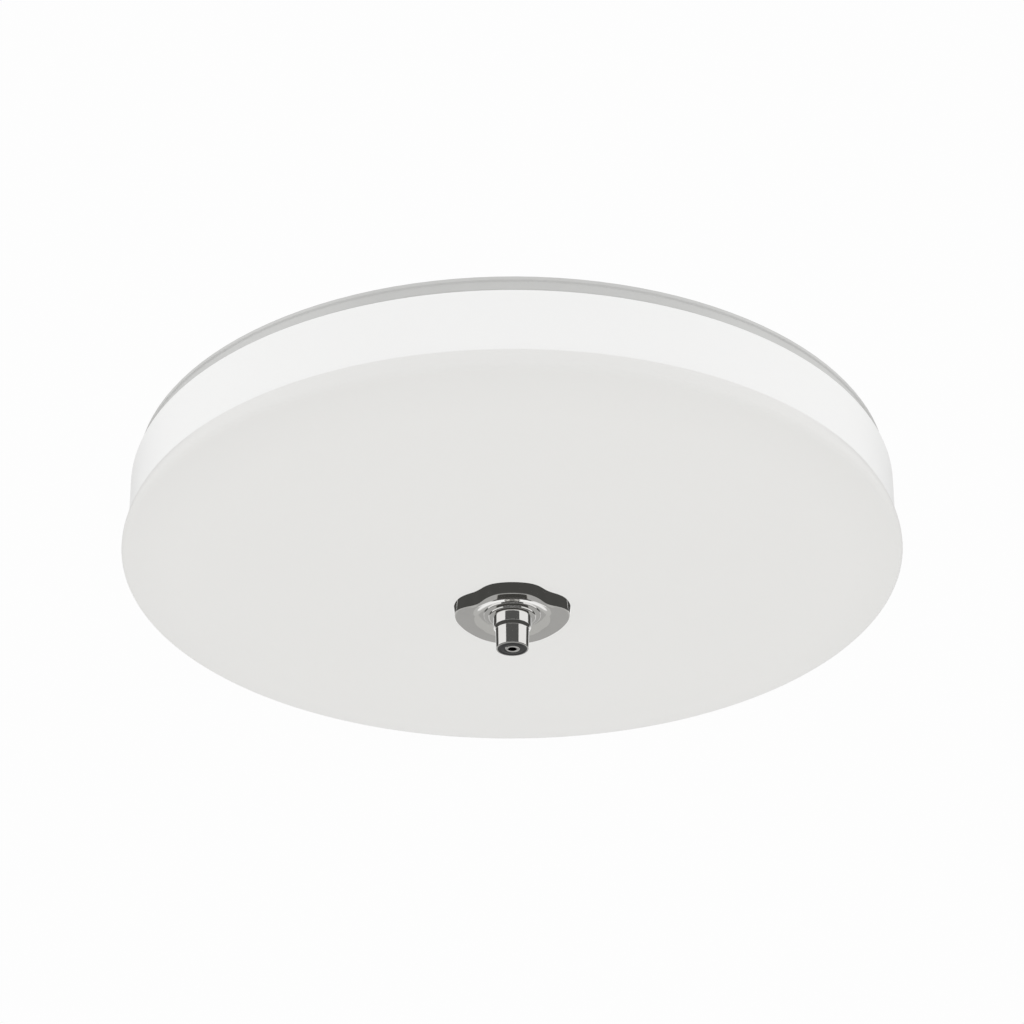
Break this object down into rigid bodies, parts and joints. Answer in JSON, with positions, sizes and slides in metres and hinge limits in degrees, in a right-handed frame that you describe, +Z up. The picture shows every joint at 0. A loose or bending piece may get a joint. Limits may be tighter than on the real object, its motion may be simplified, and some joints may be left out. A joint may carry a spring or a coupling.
{
  "type": "flush mount ceiling light",
  "caption": "Shallow round ceiling light with a white pan, an opal glass drum shade with a rounded bottom edge, and a lobed metal cap and knob at the centre.",
  "frame": {"origin": "centre of the mounting strap's top face, in the plane of the ceiling", "axes": "+Z up into the ceiling, +X along the mounting strap, -Y towards the picture's camera"},
  "size_m": [0.33, 0.33, 0.0718],
  "materials": {
    "pan_paint": "satin",
    "cover_white": "satin",
    "zinc_steel": "satin",
    "earth_green": "gloss",
    "nickel": "polished",
    "opal_glass": "satin",
    "grey_rubber": "matt",
    "clear_rubber": "matt",
    "white_mask": "gloss",
    "green_board": "gloss",
    "led_yellow": "matt",
    "ferrite": "matt",
    "coil_tape": "gloss",
    "capacitor_sleeve": "gloss",
    "film_red": "gloss",
    "black_plastic": "matt",
    "white_plastic": "matt",
    "dark_disc": "satin"
  },
  "bodies": {
    "ceiling_side": {"ceiling_pan": "pan_paint", "rim_gasket": "grey_rubber", "mounting_strap": "zinc_steel", "earth_screw": "earth_green", "strap_nut": "zinc_steel", "pan_washer": "zinc_steel", "pan_nut": "zinc_steel", "led_board": "white_mask", "led_chips": "led_yellow", "board_screws": "zinc_steel", "board_standoffs": "zinc_steel", "standoff_screws": "zinc_steel", "driver_board": "green_board", "wire_bushing": "black_plastic", "transformer_core": "ferrite", "transformer_coil": "coil_tape", "bulk_capacitor": "capacitor_sleeve", "film_capacitors": "film_red", "power_switch": "black_plastic", "terminal_block": "white_plastic", "led_plug": "white_plastic", "driver_cover": "cover_white", "cover_screws": "zinc_steel", "centre_rod": "nickel", "lead_pair": "black_plastic", "board_plug": "white_plastic"},
    "shade": {"glass_shade": "opal_glass", "hole_grommet": "clear_rubber", "cap_gasket": "clear_rubber", "scalloped_cap": "nickel", "stepped_ring": "nickel"},
    "finial": {"finial_knob": "nickel", "knob_end_disc": "dark_disc"}
  },
  "joints": [
    {"name": "shade_drop", "type": "slide", "parent": "ceiling_side", "child": "shade", "axis": [0, 0, -1], "range_m": [0, 0.00752]},
    {"name": "finial_turn", "type": "hinge", "parent": "shade", "child": "finial", "pos_m": [0, 0, -0.0643], "axis": [0, 0, -1], "range_deg": [0, 2880]}
  ],
  "couplings": [
    {"joint": "finial_turn", "follows": "shade_drop", "rad_per_m": 6679.3}
  ]
}
